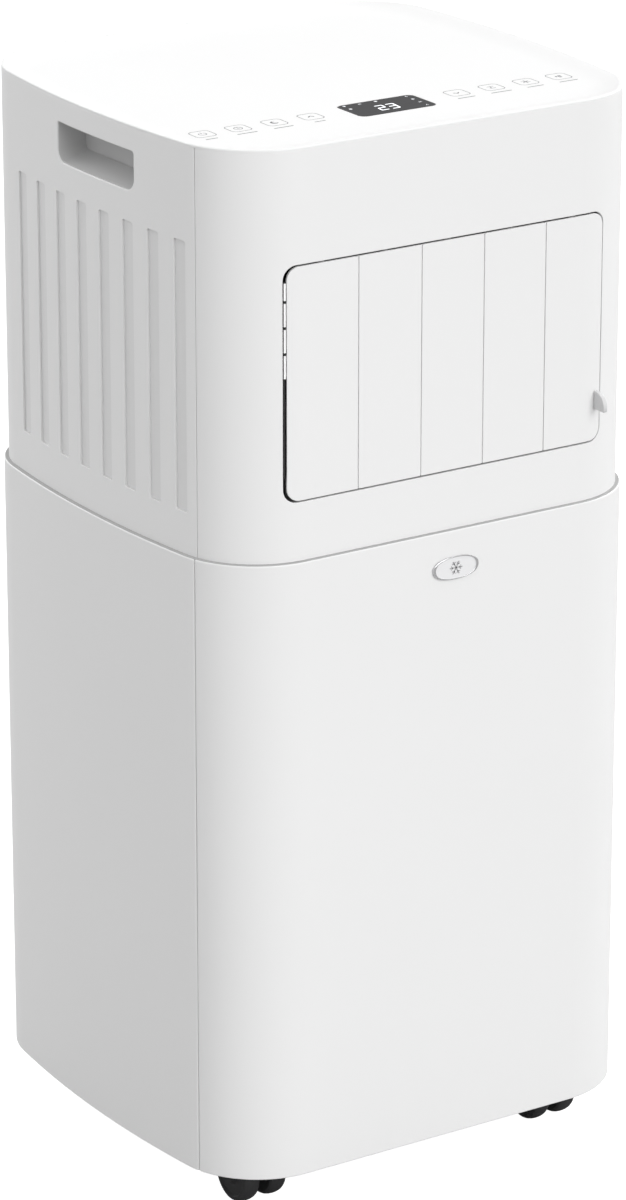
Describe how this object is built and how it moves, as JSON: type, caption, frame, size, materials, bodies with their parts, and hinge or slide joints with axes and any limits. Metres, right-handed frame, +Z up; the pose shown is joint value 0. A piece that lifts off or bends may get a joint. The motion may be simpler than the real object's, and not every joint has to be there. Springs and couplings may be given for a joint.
{
  "type": "portable air conditioner",
  "caption": "Tall rounded portable air conditioner on castors, with an upright-blade louvre in front, a dished control top, side grips and a rear exhaust collar.",
  "frame": {"origin": "on the floor under the middle of the object", "axes": "+Z up, front faces -Y, +X to the right as seen from above with the front towards the viewer"},
  "size_m": [0.332, 0.324, 0.7],
  "materials": {
    "shell": "satin white moulding",
    "inner": "satin light grey moulding",
    "black": "satin black moulding",
    "wheel": "satin black moulding",
    "screen": "fine dark mesh",
    "tab": "satin light grey moulding",
    "display": "glossy black window",
    "badge": "satin silver coating",
    "board": "green circuit board",
    "foam": "white moulded foam",
    "fins": "thin bright fins",
    "zinc": "zinc plated",
    "painted": "black paint",
    "copper": "bare copper",
    "rubber": "soft black"
  },
  "bodies": {
    "cabinet": {"badge_plate": "badge", "base_pan": "inner", "compressor": "painted", "condenser": "fins", "condenser_grille": "shell", "control_board": "board", "cord_gland": "black", "discharge_pipe": "copper", "display_lens": "display", "drip_tray": "inner", "electric_box": "painted", "evaporator": "fins", "exhaust_collar": "inner", "grip_pocket_left": "shell", "grip_pocket_right": "shell", "lower_front_cover": "shell", "lower_motor": "zinc", "lower_rear_cover": "shell", "lower_scroll": "inner", "outlet_frame": "shell", "suction_pipe": "copper", "top_panel": "shell", "upper_front_cover": "shell", "upper_motor": "zinc", "upper_rear_cover": "shell", "upper_scroll": "foam"},
    "blade_1": {"louvre_blade_1": "shell"},
    "blade_2": {"louvre_blade_2": "shell"},
    "blade_3": {"louvre_blade_3": "shell"},
    "blade_4": {"louvre_blade_4": "shell"},
    "blade_5": {"louvre_blade_5": "shell", "louvre_tab": "tab"},
    "louvre_link": {"louvre_link": "black"},
    "vane_1": {"vane_1": "shell"},
    "vane_2": {"vane_2": "shell"},
    "vane_3": {"vane_3": "shell"},
    "vane_4": {"vane_4": "shell"},
    "vane_5": {"vane_5": "shell"},
    "vane_link": {"vane_link": "black"},
    "upper_blower": {"upper_blower_drum": "black"},
    "lower_blower": {"lower_blower_wheel": "black"},
    "castor_front_left": {"castor_front_left_housing": "black", "castor_front_left_axle": "zinc"},
    "castor_front_left_wheel_a": {"castor_front_left_wheel_a": "wheel"},
    "castor_front_left_wheel_b": {"castor_front_left_wheel_b": "wheel"},
    "castor_front_right": {"castor_front_right_housing": "black", "castor_front_right_axle": "zinc"},
    "castor_front_right_wheel_a": {"castor_front_right_wheel_a": "wheel"},
    "castor_front_right_wheel_b": {"castor_front_right_wheel_b": "wheel"},
    "castor_rear_left": {"castor_rear_left_housing": "black", "castor_rear_left_axle": "zinc"},
    "castor_rear_left_wheel_a": {"castor_rear_left_wheel_a": "wheel"},
    "castor_rear_left_wheel_b": {"castor_rear_left_wheel_b": "wheel"},
    "castor_rear_right": {"castor_rear_right_housing": "black", "castor_rear_right_axle": "zinc"},
    "castor_rear_right_wheel_a": {"castor_rear_right_wheel_a": "wheel"},
    "castor_rear_right_wheel_b": {"castor_rear_right_wheel_b": "wheel"},
    "filter": {"filter_grille": "shell", "filter_screen": "screen"},
    "drain_plug": {"drain_plug": "rubber"}
  },
  "joints": [
    {"name": "louvre_swing", "type": "hinge", "parent": "cabinet", "child": "blade_5", "pos_m": [0.09685, -0.1455, 0.4761], "axis": [0, 0, 1], "range_deg": [-80, 0]},
    {"name": "louvre_1_turn", "type": "hinge", "parent": "cabinet", "child": "blade_1", "pos_m": [-0.08607, -0.1455, 0.4761], "axis": [0, 0, 1], "range_deg": [-80, 0]},
    {"name": "louvre_2_turn", "type": "hinge", "parent": "cabinet", "child": "blade_2", "pos_m": [-0.04034, -0.1455, 0.4761], "axis": [0, 0, 1], "range_deg": [-80, 0]},
    {"name": "louvre_3_turn", "type": "hinge", "parent": "cabinet", "child": "blade_3", "pos_m": [0.00539, -0.1455, 0.4761], "axis": [0, 0, 1], "range_deg": [-80, 0]},
    {"name": "louvre_4_turn", "type": "hinge", "parent": "cabinet", "child": "blade_4", "pos_m": [0.05112, -0.1455, 0.4761], "axis": [0, 0, 1], "range_deg": [-80, 0]},
    {"name": "louvre_link_turn", "type": "hinge", "parent": "blade_5", "child": "louvre_link", "pos_m": [0.09685, -0.1355, 0.4761], "axis": [0, 0, 1], "range_deg": [0, 80]},
    {"name": "vane_tilt", "type": "hinge", "parent": "cabinet", "child": "vane_1", "pos_m": [0, -0.104, 0.61551], "axis": [1, 0, 0], "range_deg": [-30, 30]},
    {"name": "vane_2_tilt", "type": "hinge", "parent": "cabinet", "child": "vane_2", "pos_m": [0, -0.104, 0.58453], "axis": [1, 0, 0], "range_deg": [-30, 30]},
    {"name": "vane_3_tilt", "type": "hinge", "parent": "cabinet", "child": "vane_3", "pos_m": [0, -0.104, 0.55355], "axis": [1, 0, 0], "range_deg": [-30, 30]},
    {"name": "vane_4_tilt", "type": "hinge", "parent": "cabinet", "child": "vane_4", "pos_m": [0, -0.104, 0.52257], "axis": [1, 0, 0], "range_deg": [-30, 30]},
    {"name": "vane_5_tilt", "type": "hinge", "parent": "cabinet", "child": "vane_5", "pos_m": [0, -0.104, 0.49159], "axis": [1, 0, 0], "range_deg": [-30, 30]},
    {"name": "vane_link_turn", "type": "hinge", "parent": "vane_1", "child": "vane_link", "pos_m": [0, -0.095, 0.61551], "axis": [1, 0, 0], "range_deg": [-30, 30]},
    {"name": "upper_blower_spin", "type": "hinge", "parent": "cabinet", "child": "upper_blower", "pos_m": [0, 0.00415, 0.55355], "axis": [1, 0, 0], "continuous": true},
    {"name": "lower_blower_spin", "type": "hinge", "parent": "cabinet", "child": "lower_blower", "pos_m": [0, 0, 0.3476], "axis": [1, 0, 0], "continuous": true},
    {"name": "castor_front_left_swivel", "type": "hinge", "parent": "cabinet", "child": "castor_front_left", "pos_m": [-0.113, -0.0935, 0.044], "axis": [0, 0, 1], "continuous": true},
    {"name": "castor_front_left_roll_a", "type": "hinge", "parent": "castor_front_left", "child": "castor_front_left_wheel_a", "pos_m": [-0.113, -0.1055, 0.019], "axis": [1, 0, 0], "continuous": true},
    {"name": "castor_front_left_roll_b", "type": "hinge", "parent": "castor_front_left", "child": "castor_front_left_wheel_b", "pos_m": [-0.113, -0.1055, 0.019], "axis": [1, 0, 0], "continuous": true},
    {"name": "castor_front_right_swivel", "type": "hinge", "parent": "cabinet", "child": "castor_front_right", "pos_m": [0.113, -0.0935, 0.044], "axis": [0, 0, 1], "continuous": true},
    {"name": "castor_front_right_roll_a", "type": "hinge", "parent": "castor_front_right", "child": "castor_front_right_wheel_a", "pos_m": [0.113, -0.1055, 0.019], "axis": [1, 0, 0], "continuous": true},
    {"name": "castor_front_right_roll_b", "type": "hinge", "parent": "castor_front_right", "child": "castor_front_right_wheel_b", "pos_m": [0.113, -0.1055, 0.019], "axis": [1, 0, 0], "continuous": true},
    {"name": "castor_rear_left_swivel", "type": "hinge", "parent": "cabinet", "child": "castor_rear_left", "pos_m": [-0.113, 0.0935, 0.044], "axis": [0, 0, 1], "continuous": true},
    {"name": "castor_rear_left_roll_a", "type": "hinge", "parent": "castor_rear_left", "child": "castor_rear_left_wheel_a", "pos_m": [-0.113, 0.0815, 0.019], "axis": [1, 0, 0], "continuous": true},
    {"name": "castor_rear_left_roll_b", "type": "hinge", "parent": "castor_rear_left", "child": "castor_rear_left_wheel_b", "pos_m": [-0.113, 0.0815, 0.019], "axis": [1, 0, 0], "continuous": true},
    {"name": "castor_rear_right_swivel", "type": "hinge", "parent": "cabinet", "child": "castor_rear_right", "pos_m": [0.113, 0.0935, 0.044], "axis": [0, 0, 1], "continuous": true},
    {"name": "castor_rear_right_roll_a", "type": "hinge", "parent": "castor_rear_right", "child": "castor_rear_right_wheel_a", "pos_m": [0.113, 0.0815, 0.019], "axis": [1, 0, 0], "continuous": true},
    {"name": "castor_rear_right_roll_b", "type": "hinge", "parent": "castor_rear_right", "child": "castor_rear_right_wheel_b", "pos_m": [0.113, 0.0815, 0.019], "axis": [1, 0, 0], "continuous": true},
    {"name": "filter_pull", "type": "slide", "parent": "cabinet", "child": "filter", "axis": [0, 1, 0], "range_m": [0, 0.06]},
    {"name": "drain_plug_pull", "type": "slide", "parent": "cabinet", "child": "drain_plug", "axis": [0, 1, 0], "range_m": [0, 0.03]}
  ],
  "couplings": [
    {"joint": "louvre_1_turn", "follows": "louvre_swing", "ratio": 1},
    {"joint": "louvre_2_turn", "follows": "louvre_swing", "ratio": 1},
    {"joint": "louvre_3_turn", "follows": "louvre_swing", "ratio": 1},
    {"joint": "louvre_4_turn", "follows": "louvre_swing", "ratio": 1},
    {"joint": "louvre_link_turn", "follows": "louvre_swing", "ratio": -1},
    {"joint": "vane_2_tilt", "follows": "vane_tilt", "ratio": 1},
    {"joint": "vane_3_tilt", "follows": "vane_tilt", "ratio": 1},
    {"joint": "vane_4_tilt", "follows": "vane_tilt", "ratio": 1},
    {"joint": "vane_5_tilt", "follows": "vane_tilt", "ratio": 1},
    {"joint": "vane_link_turn", "follows": "vane_tilt", "ratio": -1}
  ]
}
